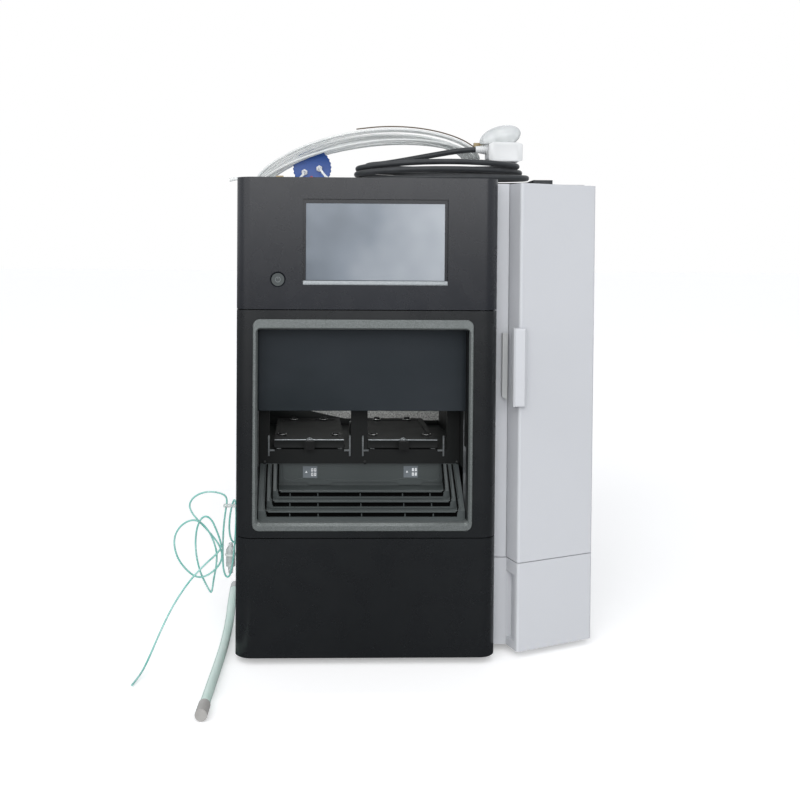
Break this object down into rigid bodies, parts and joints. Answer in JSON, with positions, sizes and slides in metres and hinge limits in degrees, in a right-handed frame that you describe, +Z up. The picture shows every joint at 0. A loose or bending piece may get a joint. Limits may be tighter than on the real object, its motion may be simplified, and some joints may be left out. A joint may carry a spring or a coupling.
{
  "type": "liquid chromatograph",
  "caption": "Integrated liquid chromatograph: dark front with touch screen and windowed sample racks, white side door over a column oven, tubing and cord laid out.",
  "frame": {"origin": "on the bench surface, under the middle of the case", "axes": "+Z up, the front faces -Y, +X is the white door's side"},
  "size_m": [0.5395, 0.6253, 0.638],
  "materials": {
    "black_panel": "satin",
    "silver_trim": "satin",
    "bright_trim": "satin",
    "smoked_pane": "gloss",
    "screen": "satin",
    "white_panel": "satin",
    "case_paint": "satin",
    "chassis_steel": "satin",
    "dark_plastic": "matte",
    "dark_grey_plastic": "matte",
    "tray_metal": "satin",
    "steel": "brushed",
    "foam_board": "matte",
    "aluminium": "satin",
    "rubber": "matte",
    "grey_rubber": "matte",
    "hose": "satin",
    "teal_tube": "gloss",
    "clear_tube": "gloss",
    "board": "satin",
    "light_grey_plastic": "satin"
  },
  "bodies": {
    "chassis": {"analytical_column": "steel", "base_frame": "chassis_steel", "clear_tubing_coil": "clear_tube", "column_clips": "dark_grey_plastic", "degasser": "light_grey_plastic", "detector_housing": "light_grey_plastic", "display_bezel": "black_panel", "door_guides": "dark_plastic", "door_jamb": "white_panel", "drain_hose": "hose", "fan_frame": "dark_plastic", "feet": "rubber", "flow_cell": "light_grey_plastic", "front_plate": "chassis_steel", "heater_block": "aluminium", "hinge_tabs": "steel", "hose_elbow": "light_grey_plastic", "hose_sleeve": "grey_rubber", "injection_port": "steel", "insulation_panel": "foam_board", "latch_plate": "light_grey_plastic", "left_side_cover": "case_paint", "louvre_apron": "dark_grey_plastic", "lower_front_cover": "black_panel", "main_board": "board", "mains_inlet": "dark_plastic", "mains_switch_frame": "dark_plastic", "needle_rail": "steel", "oven_housing": "aluminium", "power_cord_coil": "rubber", "power_plug": "rubber", "power_supply": "steel", "power_switch": "dark_plastic", "pump_heads": "steel", "pump_unit": "dark_grey_plastic", "rack_bay": "dark_plastic", "rack_guides": "steel", "rear_panel": "case_paint", "right_lower_panel": "white_panel", "right_side_cover": "case_paint", "sampler_bezel": "black_panel", "screen_ledge": "bright_trim", "side_ports": "dark_plastic", "teal_coil": "teal_tube", "teal_tail": "teal_tube", "top_cover": "case_paint", "touch_screen": "screen", "window_trim": "silver_trim"},
    "power_button": {"power_button": "dark_grey_plastic"},
    "sampler_door": {"sampler_door": "smoked_pane"},
    "left_rack_tray": {"left_rack_tray": "tray_metal"},
    "right_rack_tray": {"right_rack_tray": "tray_metal"},
    "needle_arm": {"needle_arm": "dark_grey_plastic"},
    "needle": {"needle": "steel"},
    "right_door": {"right_door": "white_panel", "door_liner": "light_grey_plastic", "door_grip": "white_panel"},
    "fan_rotor": {"fan_rotor": "dark_plastic"},
    "mains_rocker": {"mains_rocker": "dark_plastic"},
    "purge_knob": {"purge_knob": "dark_plastic"}
  },
  "joints": [
    {"name": "power_button_press", "type": "slide", "parent": "chassis", "child": "power_button", "axis": [0, 1, 0], "range_m": [0, 0.0015], "stiffness_N_per_m": 200},
    {"name": "sampler_door_slide", "type": "slide", "parent": "chassis", "child": "sampler_door", "axis": [0, 0, -1], "range_m": [0, 0.038]},
    {"name": "left_tray_slide", "type": "slide", "parent": "chassis", "child": "left_rack_tray", "axis": [0, -1, 0], "range_m": [0, 0.12]},
    {"name": "right_tray_slide", "type": "slide", "parent": "chassis", "child": "right_rack_tray", "axis": [0, -1, 0], "range_m": [0, 0.12]},
    {"name": "needle_arm_slide", "type": "slide", "parent": "chassis", "child": "needle_arm", "axis": [1, 0, 0], "range_m": [-0.088, 0.088]},
    {"name": "needle_drop", "type": "slide", "parent": "needle_arm", "child": "needle", "axis": [0, 0, -1], "range_m": [0, 0.045]},
    {"name": "right_door_hinge", "type": "hinge", "parent": "chassis", "child": "right_door", "pos_m": [0.211, -0.184, 0.336], "axis": [0, 0, 1], "range_deg": [0, 100]},
    {"name": "fan_spin", "type": "hinge", "parent": "chassis", "child": "fan_rotor", "pos_m": [0.137, 0.235, 0.388], "axis": [0, 1, 0], "continuous": true},
    {"name": "mains_rocker_tip", "type": "hinge", "parent": "chassis", "child": "mains_rocker", "pos_m": [-0.1, 0.2405, 0.078], "axis": [0, 0, 1], "range_deg": [0, 12]},
    {"name": "purge_knob_turn", "type": "hinge", "parent": "chassis", "child": "purge_knob", "pos_m": [-0.02, -0.17, 0.034], "axis": [0, -1, 0], "range_deg": [0, 180]}
  ]
}
